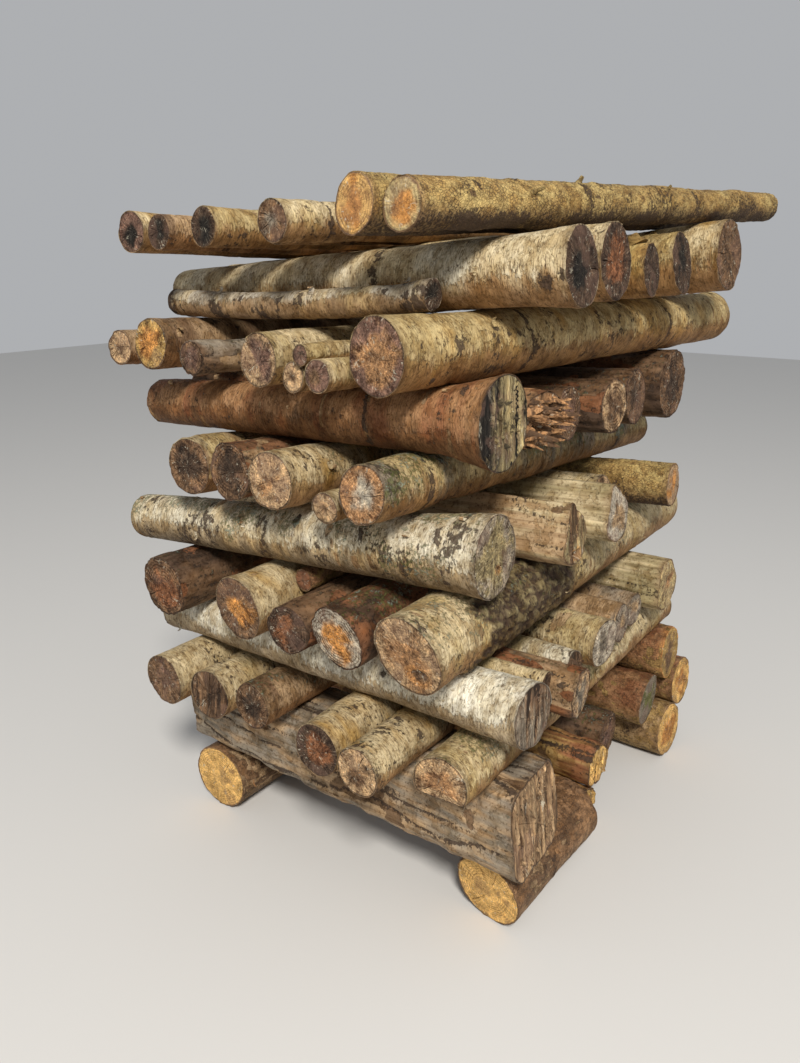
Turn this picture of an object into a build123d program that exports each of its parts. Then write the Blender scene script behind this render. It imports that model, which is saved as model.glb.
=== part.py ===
"""Stack of logs: a crib of birch, spruce and pine billets, laid course by course at right angles.

Even courses run front to back (along Y) and odd courses run side to side (along X). A log's
"near" end is its front end (towards -Y) or its right end (towards +X). Every log takes its height
from the logs that it crosses and rests on, so a changed diameter lifts whatever lies above it.
Lengths are in millimetres and angles in degrees.
"""
from build123d import *

import math
import os
import random
from dataclasses import dataclass, field

# Plan of the stack, before the origin moves to the middle of its foot
RIGHT_FACE = 550.0
FRONT_FACE = -500.0
SIDE_LENGTH = 1080.0
DEEP_LENGTH = 1400.0
BEARER_LENGTH = 410.0
BEARER_CLEARANCE = 40.0

# Contact and saw cuts
SEAT = 0.3
NEST_SEAT = 0.6
SIDE_GAP = 4.0
CUT_SLANT = 4.0
CUT_SEED = 11
SWELL_LENGTH = 130.0
FLAT_DOWN = -90.0
FLAT_UP = 90.0


@dataclass
class Log:
    """One log: the gap to the log listed before it, and its diameters at the course's two faces.

    reach and far_reach are how far its ends stand out past those faces, or length is its own length.
    swing is how far its far end lies off the parallel. Each flat is the angle that it faces and its
    distance from the axis, as a share of the radius, and notch is a flat that starts some way in from
    the near end. nest gives the two logs of its course in whose groove it lies.
    """

    name: str
    gap: float
    near_dia: float
    far_dia: float
    reach: float = 0.0
    far_reach: float = 0.0
    swing: float = 0.0
    swell: float = 0.0
    bow: float = 0.0
    flats: list = field(default_factory=list)
    notch: tuple = None
    near_cut: tuple = None
    nest: tuple = None
    length: float = None


@dataclass
class Course:
    """The logs of a course, and the gap left between the last of them and the stack's far face.

    A course with a margin spreads its gaps to fill the stack, and one without keeps them.
    """

    logs: list
    margin: float = None


BEARERS = Course([
    Log("bearers", -48, 188, 188, reach=-190, length=BEARER_LENGTH, near_cut=(-8, 10)),
    Log("bearers", 680, 188, 188, reach=-140, length=BEARER_LENGTH),
], margin=72)
SILL = Course([
    Log(
        "squared_sill_log", 100, 280, 250, reach=45, far_reach=-40, near_cut=(4, -6),
        flats=[(FLAT_DOWN, 0.8), (FLAT_UP, 0.8), (0, 0.9), (180, 0.84)], notch=(135, 0.82, 75),
    ),
])
GROUND = Course([
    Log("rotten_billet_low", BEARER_CLEARANCE, 110, 100, reach=-25, far_reach=-60),
    Log("ground_billets", 8, 120, 110, reach=-130, far_reach=-20),
    Log("ground_billets", 70, 150, 140, reach=-150, far_reach=-40),
    Log("corner_billet_1", 4, 170, 155, reach=30, far_reach=-60),
    Log("ground_billets", 4, 160, 150, reach=-120, far_reach=-30),
    Log("rotten_billet_high", 0, 125, 110, reach=-20, far_reach=-70, nest=(0, 1)),
    Log("corner_billet_2", 0, 165, 150, reach=-10, far_reach=-50, nest=(2, 3)),
    Log("corner_billet_3", 0, 155, 145, reach=25, far_reach=-20, nest=(3, 4)),
    Log("corner_billet_4", 0, 165, 150, reach=10, far_reach=-40, nest=(6, 7)),
    Log("ground_billets", 0, 150, 140, reach=-60, far_reach=-30, nest=(1, 2)),
])
COURSE_2 = Course([
    Log("course_2_log_1", 20, 140, 125, reach=-44, far_reach=-130, flats=[(FLAT_DOWN, 0.5)]),
    Log("course_2_log_2", 34, 115, 100, reach=42, far_reach=-60, swing=-10),
    Log("course_2_log_3", 4, 130, 115, reach=33, far_reach=-20, swing=-20),
    Log("course_2_log_4", 150, 120, 110, reach=-34, far_reach=-40, swing=15),
    Log("course_2_log_5", 6, 130, 120, reach=-10, far_reach=-90),
    Log("course_2_log_6", 20, 140, 130, reach=7, far_reach=-30, swing=-10),
], margin=71)
COURSE_3 = Course([
    Log("course_3_log_1", 104, 142, 116, reach=60, far_reach=-20, swing=-15, swell=4),
    Log("course_3_log_2", 36, 120, 110, reach=90, swing=-35),
    Log("course_3_thin_logs", 56, 80, 75, far_reach=-30, swing=10),
    Log("course_3_log_3", 6, 130, 115, reach=30, far_reach=-20, swing=15),
    Log("course_3_log_4", 50, 110, 105, reach=4, far_reach=10, swing=-10),
    Log("course_3_log_5", 8, 100, 105, reach=-7, swing=10),
    Log("course_3_split_log", 42, 156, 138, reach=20, flats=[(172, 0.72), (35, 0.85)]),
    Log("course_3_thin_logs", 0, 50, 45, reach=40, far_reach=-200, nest=(0, 1)),
], margin=260)
COURSE_4 = Course([
    Log("course_4_log_1", 49, 182, 160, reach=10, far_reach=-60, near_cut=(-6, 12)),
    Log("course_4_log_2", 30, 155, 135, far_reach=-30, swing=-10, near_cut=(-6, 10)),
    Log("course_4_log_3", 6, 125, 110, far_reach=-80),
    Log("course_4_log_4", 20, 160, 140, far_reach=-20, swing=15),
    Log("course_4_log_5", 110, 160, 140, far_reach=-50, swing=-20),
    Log("course_4_log_6", 0, 60, 50, reach=-130, far_reach=-300, nest=(2, 3)),
], margin=83)
COURSE_5 = Course([
    Log("course_5_log_1", 80, 172, 115, reach=-40, far_reach=40, swing=-40, swell=6),
    Log("course_5_split_log_1", 104, 150, 140, reach=10, flats=[(152, 0.6), (50, 0.75)]),
    Log("course_5_split_log_2", 66, 145, 135, reach=20, flats=[(155, 0.62), (52, 0.8)]),
    Log("course_5_log_2", 30, 125, 115, reach=-90),
    Log("course_5_log_3", 85, 125, 115, reach=25),
], margin=318)
COURSE_6 = Course([
    Log("course_6_log_1", 182, 126, 115, reach=20, far_reach=-80, swing=15),
    Log("course_6_log_2", 18, 70, 65, far_reach=-500, swing=-10),
    Log("course_6_log_3", 45, 132, 115, reach=10, far_reach=-20, swing=-20),
    Log("course_6_log_4", 14, 140, 120, reach=-10, far_reach=-60),
    Log("course_6_log_5", 10, 140, 125, reach=-20, far_reach=-40, swing=10),
], margin=203)
COURSE_7 = Course([
    Log("course_7_log_1", 108, 148, 112, reach=-40, far_reach=-20, swing=-20, swell=26),
    Log("course_7_log_2", 32, 130, 165, reach=-50, near_cut=(-14, 12)),
    Log("course_7_log_3", 32, 125, 115, reach=-60),
    Log("course_7_log_4", 34, 135, 120, reach=-20, swing=10),
    Log("course_7_back_logs", 64, 150, 130, reach=-50),
    Log("course_7_back_logs", 46, 190, 170, reach=-30),
], margin=206)
COURSE_8 = Course([
    Log("course_8_log_1", 149, 148, 142, far_reach=20, swing=165, swell=6),
    Log("course_8_thin_logs", 30, 70, 60, reach=10, far_reach=-60, swing=90),
    Log("course_8_thin_logs", 8, 65, 55, far_reach=-90, swing=60),
    Log("course_8_log_2", 10, 115, 100, far_reach=-30, swing=40),
    Log("course_8_log_3", 110, 80, 75, far_reach=-60, swing=20),
    Log("course_8_log_4", 43, 120, 110, far_reach=-20, swing=10),
    Log("course_8_log_5", 12, 85, 80, far_reach=-60),
    Log("course_8_thin_logs", 0, 45, 40, reach=10, far_reach=-700, nest=(1, 2)),
], margin=35)
COURSE_9 = Course([
    Log("course_9_pole", 115, 62, 62, reach=-190, far_reach=-130, bow=-14),
    Log("course_9_log_1", 54, 145, 120, reach=50, far_reach=-30, swing=-30, swell=4),
    Log("course_9_log_2", 10, 158, 145, reach=50),
    Log("course_9_log_3", 62, 120, 110, reach=50, swing=-20),
    Log("course_9_log_4", 60, 148, 130, reach=50),
    Log("course_9_log_5", 75, 174, 150, reach=90, swing=20),
], margin=221)
COURSE_10 = Course([
    Log("course_10_log_1", 110, 100, 82, far_reach=90, swing=200),
    Log("course_10_log_2", 4, 112, 90, far_reach=-60, swing=180),
    Log("course_10_log_3", 110, 85, 70, far_reach=-90, swing=120),
    Log("course_10_small_logs", 4, 70, 60, reach=-90, far_reach=-50, swing=100),
    Log("course_10_small_logs", 44, 85, 75, far_reach=-100, swing=60),
    Log("course_10_small_logs", 60, 80, 70, far_reach=-60, swing=40),
    Log("course_10_log_4", 12, 90, 75, far_reach=-90, swing=20),
], margin=114)

cut_spread = random.Random(CUT_SEED)


class Laid:
    """A log in its place: v is measured across its course, z is height, u runs along it."""

    def __init__(self, log, deep, v_near, v_far):
        self.log = log
        self.deep = deep
        self.start = FRONT_FACE if deep else RIGHT_FACE
        self.way = 1 if deep else -1
        self.length = DEEP_LENGTH if deep else SIDE_LENGTH
        self.v = (v_near, v_far)
        self.z = (0.0, 0.0)
        far_end = self.length + log.far_reach
        self.ends = (-log.reach, log.length - log.reach if log.length else far_end)

    def along(self, pair, s):
        return pair[0] + (pair[1] - pair[0]) * s / self.length

    def radius(self, s):
        log = self.log
        grown = log.swell * max(0.0, 1 - (s - self.ends[0]) / SWELL_LENGTH)
        return self.along((log.near_dia / 2, log.far_dia / 2), s) + grown

    def bend(self, s):
        """Share of the full bow at s: none at the ends and one in the middle."""
        t = (s - self.ends[0]) / (self.ends[1] - self.ends[0])
        return 4 * t * (1 - t)

    def bend_slope(self, s):
        span = self.ends[1] - self.ends[0]
        return 4 * (1 - 2 * (s - self.ends[0]) / span) / span

    def height(self, s):
        return self.along(self.z, s) + self.log.bow * self.bend(s)

    def slope(self, s):
        return (self.z[1] - self.z[0]) / self.length + self.log.bow * self.bend_slope(s)

    def drift(self):
        return (self.v[1] - self.v[0]) / self.length

    def taper(self):
        return (self.log.far_dia - self.log.near_dia) / 2 / self.length

    def flat_ratio(self, facing):
        return min([1.0] + [ratio for angle, ratio in self.log.flats if angle == facing])

    def flat_half_width(self, facing, s):
        return self.radius(s) * math.sqrt(1 - self.flat_ratio(facing) ** 2)

    def point(self, s):
        u = self.start + self.way * s
        v = self.along(self.v, s)
        if self.deep:
            return Vector(v, u, self.height(s))
        return Vector(u, v, self.height(s))


def crossing(upper, lower):
    """Where two courses' logs cross in plan, as a distance along each of them."""
    t = 0.0
    for _ in range(4):
        s = (lower.along(lower.v, t) - upper.start) * upper.way
        t = (upper.along(upper.v, s) - lower.start) * lower.way
    return s, t


def rest_on(upper, below):
    """Lay a log on the two crossing logs, either side of its middle, that hold it highest."""
    for _ in range(4):
        holds = []
        for lower in below:
            s, t = crossing(upper, lower)
            past = max(0.0, upper.ends[0] - s, s - upper.ends[1])
            if past >= lower.radius(t) or not lower.ends[0] < t < lower.ends[1]:
                continue
            s = min(max(s, upper.ends[0]), upper.ends[1])
            rise, fall = upper.slope(s) * upper.way, lower.slope(t) * lower.way
            lean = (upper.drift() * upper.way, lower.drift() * lower.way)
            normal = (lean[0] * fall - rise, rise * lean[1] - fall, 1 - lean[0] * lean[1])
            stretch = math.hypot(*normal) / abs(normal[2])
            over = math.sqrt(lower.radius(t) ** 2 - past**2)
            over = min(over, lower.radius(t) * lower.flat_ratio(FLAT_UP))
            under = upper.radius(s) * upper.flat_ratio(FLAT_DOWN)
            underside = rise - upper.way * upper.taper() * upper.flat_ratio(FLAT_DOWN)
            upper_side = fall + lower.way * lower.taper() * lower.flat_ratio(FLAT_UP)
            edge = lower.flat_half_width(FLAT_UP, t) * abs(underside)
            edge += upper.flat_half_width(FLAT_DOWN, s) * abs(upper_side)
            top = lower.height(t) + (over + under + SEAT) * stretch + edge
            holds.append((s, top - upper.log.bow * upper.bend(s)))
        middle = sum(upper.ends) / 2
        best = None
        for s_a, z_a in holds:
            for s_b, z_b in holds:
                if s_a <= middle < s_b:
                    tilt = (z_b - z_a) / (s_b - s_a)
                    high = z_a + tilt * (middle - s_a)
                    if best is None or high > best[0]:
                        best = (high, z_a - tilt * s_a, tilt)
        upper.z = (best[1], best[1] + best[2] * upper.length)


def nest_between(log, left, right):
    """Lay a log in the groove on top of two logs of its own course."""
    laid = Laid(log, left.deep, 0, 0)
    held = []
    for s in (laid.ends[0], sum(laid.ends) / 2, laid.ends[1]):
        reach_left = left.radius(s) + laid.radius(s) + NEST_SEAT
        reach_right = right.radius(s) + laid.radius(s) + NEST_SEAT
        first = Vector(left.along(left.v, s), left.height(s))
        second = Vector(right.along(right.v, s), right.height(s))
        span = (second - first).length
        along = (second - first).normalized()
        run = (reach_left**2 - reach_right**2 + span**2) / (2 * span)
        rise = math.sqrt(reach_left**2 - run**2)
        up = Vector(-along.Y, along.X) if along.X > 0 else Vector(along.Y, -along.X)
        held.append(first + along * run + up * rise)
    tilt = (held[2] - held[0]) / (laid.ends[1] - laid.ends[0])
    lift = Vector(0, max(0.0, held[1].Y - (held[0].Y + held[2].Y) / 2))
    at_near = held[0] + lift - tilt * laid.ends[0]
    at_far = at_near + tilt * laid.length
    laid.v, laid.z = (at_near.X, at_far.X), (at_near.Y, at_far.Y)
    return laid


def lay_course(plan, deep, below=None, clear_of=None):
    """Set out a course across the stack and rest it on the course below, or on the floor."""
    side = -1 if deep else 1
    near = RIGHT_FACE if deep else FRONT_FACE
    if clear_of:
        near = max(laid.point(laid.ends[1]).Y for laid in clear_of)
    flat_logs = [log for log in plan.logs if not log.nest]
    spread = 1.0
    if plan.margin is not None:
        room = (SIDE_LENGTH if deep else DEEP_LENGTH) - sum(log.near_dia for log in flat_logs)
        spread = room / (sum(log.gap for log in flat_logs) + plan.margin)
    far = None
    course = []
    for log in plan.logs:
        if log.nest:
            course.append(nest_between(log, course[log.nest[0]], course[log.nest[1]]))
            continue
        middle = near + side * (log.gap * spread + log.near_dia / 2)
        far_middle = middle + log.swing
        if far is not None and side * (far_middle - far) < log.far_dia / 2 + SIDE_GAP:
            far_middle = far + side * (log.far_dia / 2 + SIDE_GAP)
        laid = Laid(log, deep, middle, far_middle)
        if below:
            rest_on(laid, below)
        else:
            laid.z = (log.near_dia / 2, log.far_dia / 2)
        near = middle + side * log.near_dia / 2
        far = far_middle + side * log.far_dia / 2
        course.append(laid)
    return course


def build_log(laid):
    """A tapered stem, flattened where it is split or squared, and sawn off at both ends."""
    log = laid.log
    near, far = laid.point(laid.ends[0]), laid.point(laid.ends[1])
    axis = (far - near).normalized()
    side = axis.cross(Vector(0, 0, 1)).normalized()
    top = side.cross(axis)
    run = (far - near).length
    slants = [cut_spread.uniform(-CUT_SLANT, CUT_SLANT) for _ in range(4)]
    if log.near_cut:
        slants[:2] = log.near_cut
    spare = log.near_dia * math.sin(math.radians(max(abs(a) for a in slants) + 1))
    with BuildPart() as stem:
        if log.bow:
            places = (laid.ends[0] - spare, sum(laid.ends) / 2, laid.ends[1] + spare)
            with BuildLine() as spine:
                ThreePointArc(*(laid.point(s) for s in places))
            with BuildSketch(Plane(spine.line @ 0, z_dir=spine.line % 0)):
                Circle(log.near_dia / 2)
            sweep()
        else:
            with BuildSketch(Plane(near, x_dir=axis, z_dir=side)):
                with BuildLine():
                    profile = [(-spare, laid.radius(laid.ends[0] - spare))]
                    if log.swell:
                        profile.append((SWELL_LENGTH, laid.radius(laid.ends[0] + SWELL_LENGTH)))
                    profile.append((run + spare, laid.radius(laid.ends[1] + spare)))
                    Polyline((-spare, 0), *profile, (run + spare, 0), close=True)
                make_face()
            revolve(axis=Axis(near, axis))
        for angle, ratio in log.flats:
            out = side * math.cos(math.radians(angle)) + top * math.sin(math.radians(angle))
            a = near + out * laid.radius(laid.ends[0]) * ratio
            b = far + out * laid.radius(laid.ends[1]) * ratio
            facing = (b - a).cross(axis.cross(out)).normalized()
            if facing.dot(out) < 0:
                facing = -facing
            split(bisect_by=Plane(a, z_dir=facing), keep=Keep.BOTTOM)
        if log.notch:
            angle, ratio, start = log.notch
            radius = log.near_dia / 2
            with BuildSketch(Plane(near + axis * start, x_dir=side, z_dir=-axis)):
                with Locations(Rotation(0, 0, angle)):
                    with Locations(((ratio + 1) * radius, 0)):
                        Rectangle(2 * radius, 4 * radius)
            extrude(amount=-run, mode=Mode.SUBTRACT)
        for place, out, (turn, lean) in ((near, -axis, slants[:2]), (far, axis, slants[2:])):
            cut = out.rotate(Axis((0, 0, 0), top), turn).rotate(Axis((0, 0, 0), side), lean)
            split(bisect_by=Plane(place, z_dir=cut), keep=Keep.BOTTOM)
    return stem.part


bearers = lay_course(BEARERS, deep=True)
sill = lay_course(SILL, deep=False, below=bearers)
ground = lay_course(GROUND, deep=False, clear_of=bearers)
courses = [bearers, sill + ground]
for number, plan in enumerate(
    (COURSE_2, COURSE_3, COURSE_4, COURSE_5, COURSE_6, COURSE_7, COURSE_8, COURSE_9, COURSE_10)
):
    courses.append(lay_course(plan, deep=number % 2 == 0, below=courses[-1]))

nodes = {}
for course in courses:
    for laid in course:
        nodes.setdefault(laid.log.name, []).append(build_log(laid))

boxes = [stem.bounding_box() for stems in nodes.values() for stem in stems]
lowest = Vector(*(min(tuple(box.min)[i] for box in boxes) for i in range(3)))
highest = Vector(*(max(tuple(box.max)[i] for box in boxes) for i in range(3)))
foot = Vector(-(lowest.X + highest.X) / 2, -(lowest.Y + highest.Y) / 2, -lowest.Z)

os.makedirs("parts", exist_ok=True)
for name, stems in nodes.items():
    placed = [stem.moved(Location(foot)) for stem in stems]
    node = placed[0] if len(placed) == 1 else Compound(children=placed)
    node.label = name
    export_step(node, f"parts/{name}.step")
print("nodes", len(nodes), "size", highest - lowest, "origin moved by", foot)
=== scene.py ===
"""Looks of the stack of logs: bark, sawn ends, cracks and rot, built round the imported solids.

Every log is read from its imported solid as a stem: an axis, two cuts and a radius all round. A finer
surface is laid over that stem, sculpted and coloured point by point, and the materials add the fine
detail. Lengths are in metres. On a log's near end, x is to the right and y is up.
"""

import math
from dataclasses import dataclass
from functools import partial
from itertools import product
from types import SimpleNamespace

import bpy
import numpy as np
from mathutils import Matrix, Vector
from mathutils.bvhtree import BVHTree


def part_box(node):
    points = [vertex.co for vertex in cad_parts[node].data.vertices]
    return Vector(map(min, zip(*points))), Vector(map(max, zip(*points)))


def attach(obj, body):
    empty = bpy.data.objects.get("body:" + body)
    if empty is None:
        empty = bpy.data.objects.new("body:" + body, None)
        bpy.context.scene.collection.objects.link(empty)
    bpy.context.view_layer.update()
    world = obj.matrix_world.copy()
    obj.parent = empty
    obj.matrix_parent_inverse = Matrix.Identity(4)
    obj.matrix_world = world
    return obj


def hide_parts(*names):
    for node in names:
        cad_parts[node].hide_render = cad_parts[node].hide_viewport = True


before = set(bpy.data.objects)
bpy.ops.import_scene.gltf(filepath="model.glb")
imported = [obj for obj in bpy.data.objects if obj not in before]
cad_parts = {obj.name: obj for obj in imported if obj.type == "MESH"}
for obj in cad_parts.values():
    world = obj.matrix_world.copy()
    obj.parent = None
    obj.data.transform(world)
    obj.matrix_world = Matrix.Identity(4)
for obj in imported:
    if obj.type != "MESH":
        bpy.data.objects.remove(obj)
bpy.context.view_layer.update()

# Camera, solved from the photograph: where it stands on the plan, its height and its turn
CAMERA_PLACE = (1.3292, -2.0514, 1.55)
CAMERA_TURN = 36.4
CAMERA_DOWN = 17.8
PHOTO_HEIGHT = 1063
FOCAL_PIXELS = 878
SENSOR = 36.0

# Stage: a pale floor, a soft lamp from the front right and an even sky
FLOOR_HALF = 12.0
FLOOR_COLOUR = (0.64, 0.63, 0.61)
FLOOR_ROUGHNESS = 0.9
LAMP_PLACE = (4.2, -5.2, 6.2)
LAMP_AIM = (0, 0, 0.8)
LAMP_SIZE = 1.6
LAMP_WATTS = 800
LAMP_COLOUR = (1.0, 0.96, 0.90)
SKY_COLOUR = (0.88, 0.90, 0.93, 1)
SKY_STRENGTH = 0.48

# Courses of the crib above the sill
COURSES = range(2, 11)

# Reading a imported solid
WELD = 1e-5
CAP_FACING = 0.9
PROBE_ANGLES = 120
BUTT = 0.14
BUTT_STATIONS = 4
STEM_STATIONS = 9

# Mesh spacing
COLUMN = 0.0064
FEWEST_COLUMNS = 34
MOST_COLUMNS = 100
ROW_AT_END = 0.007
ROW_GROWTH = 0.11
ROW_FINE = 0.0095
ROW_COARSE = 0.020
RING = 0.0062
RIM_ROWS = (0.6, 1.1, 1.8)
SHARP_ANGLE = 55

# Depths and thicknesses of the sculpted relief
LUMP = 0.0030
BARK = 0.0042
PAPER = 0.0012
CORK = 0.0075
SCALE = 0.0012
SCALE_MIDDLE = 0.0010
FISSURE = 0.0034
WORN_OFF = 0.0020
RING_CRACK = 0.0022
LONG_CRACK = 0.010
SUNKEN = 0.004
FIBRE = 0.0012
SEATED = 0.0004
DARK_RIM = 0.022
CRACK_WIDTH = 0.0016
SAW_MARK = 0.0014
PITH_DRIFT = 0.12
STRIP = 0.0004
STRIP_POINTS = 9
STRIP_LYING = 0.35
STUB_LEAN = 0.55
STUB_SIDES = 10

# Noise
NOISE_SEED = 5
LATTICE = 48
OCTAVE_RATIO = 2.03
OCTAVE_SHIFT = 17.3
CELL_JITTER = 0.45
END_SHIFT = (0, 0, 3.0)

# Colours, as linear red, green and blue
WHITE = (0.80, 0.76, 0.63)
CHALK = (0.66, 0.60, 0.46)
CREAM = (0.60, 0.49, 0.30)
STRAW = (0.49, 0.38, 0.19)
MUSTARD = (0.50, 0.37, 0.15)
OCHRE = (0.43, 0.28, 0.10)
TAN = (0.44, 0.30, 0.17)
SILVER = (0.44, 0.39, 0.31)
ASH = (0.25, 0.21, 0.16)
RUST = (0.26, 0.11, 0.05)
ORANGE = (0.60, 0.28, 0.08)
AMBER = (0.76, 0.47, 0.16)
COPPER = (0.38, 0.21, 0.10)
BROWN = (0.17, 0.10, 0.055)
PLUM = (0.19, 0.11, 0.08)
UMBER = (0.075, 0.046, 0.03)
SOOT = (0.022, 0.018, 0.015)
KHAKI = (0.31, 0.25, 0.13)
OLIVE = (0.17, 0.17, 0.06)
MOSS = (0.11, 0.12, 0.035)
LICHEN = (0.27, 0.33, 0.26)
DRY_GLOSS = 0.2

# Tints, as factors on a colour
DULL = (0.70, 0.64, 0.55)
DARK_STREAK = (0.42, 0.35, 0.27)
PALE_STREAK = (1.36, 1.34, 1.27)
GRIT = (0.40, 0.34, 0.27)
DARK_PATCH = (0.66, 0.58, 0.46)
PALE_PATCH = (1.22, 1.22, 1.20)
# Factor of the painted shade on a birch log's underside
UNDERSIDE_SHADE = (0.66, 0.53, 0.38)
LEAF = (0.72, 0.66, 0.55)
LATE_WOOD = (0.36, 0.28, 0.22)
PALE_RAY = (1.75, 1.68, 1.55)
DARK_RAY = (0.38, 0.32, 0.27)
DARK_BLOTCH = (0.34, 0.27, 0.23)
PALE_BLOTCH = (1.65, 1.58, 1.45)
DARK_GRAIN = (0.45, 0.38, 0.32)
PALE_GRAIN = (1.45, 1.42, 1.35)


@dataclass
class Look:
    """How a log looks: its bark, what is under it, and the wood of its ends.

    A scar is a branch's old place: its distance along the log, its angle and its size. A stub is what
    is left of a branch: distance, angle, radius and length. A ring is the distance of a crack that runs
    round the bark, and cork the stretch over which the bark is thick and fissured. A near end with
    fibres is coarse wood torn along lines from top to bottom, half is how far its two colours keep to
    the left and the right, and rot is a sunken place on it: x, y, size and depth. Spike is the length
    of the longest splinter.
    """

    bark: str = "birch"
    skin: tuple = CREAM
    stain: tuple = STRAW
    under: tuple = TAN
    sap: tuple = TAN
    heart: tuple = PLUM
    heart_size: float = 0.45
    rim: tuple = UMBER
    crust: float = 0.25
    peel: float = 0.0
    moss: float = 0.15
    cracks: int = 5
    crack_depth: float = 0.005
    # low is the colour of the painted shade, warmed by painted reflected light, on a birch log's underside
    low: tuple = COPPER
    rot: tuple = None
    fibres: float = 0.0
    half: float = 0.0
    splinters: int = 0
    spike: float = 0.03
    curls: int = 3
    stubs: tuple = ()
    scars: tuple = ()
    rings: tuple = ()
    cork: tuple = None


# Kinds of log, each called with what one log has of its own
birch = Look
spruce = partial(Look, "scaly", skin=OCHRE, stain=MUSTARD, under=BROWN, sap=STRAW, heart=ORANGE,
                 heart_size=0.62, rim=BROWN, crust=0.5, curls=0)
pine = partial(Look, "scaly", skin=RUST, stain=COPPER, under=OCHRE, sap=STRAW, heart=ORANGE,
               heart_size=0.5, rim=BROWN, peel=0.2, moss=0.1, curls=0)
dark = partial(Look, "rugged", skin=BROWN, stain=UMBER, under=RUST, sap=BROWN, heart_size=0.5, crust=0.3,
               peel=0.2, moss=0.25, curls=0)
split = partial(Look, "bare", skin=TAN, stain=CREAM, under=BROWN, heart=COPPER, heart_size=0.4, rim=BROWN,
                crust=0.1, moss=0.1, curls=0)
rotten = partial(Look, "bare", skin=BROWN, stain=TAN, under=BROWN, heart=BROWN, heart_size=0.5, crust=0.5,
                 peel=0.2, cracks=6, crack_depth=0.010, curls=0)
grey_birch = birch(skin=TAN, stain=ASH, sap=ASH, heart=TAN, crack_depth=0.009)
red_rotten = rotten(skin=RUST, stain=OCHRE, sap=OCHRE, heart=AMBER, fibres=0.010)

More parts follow.
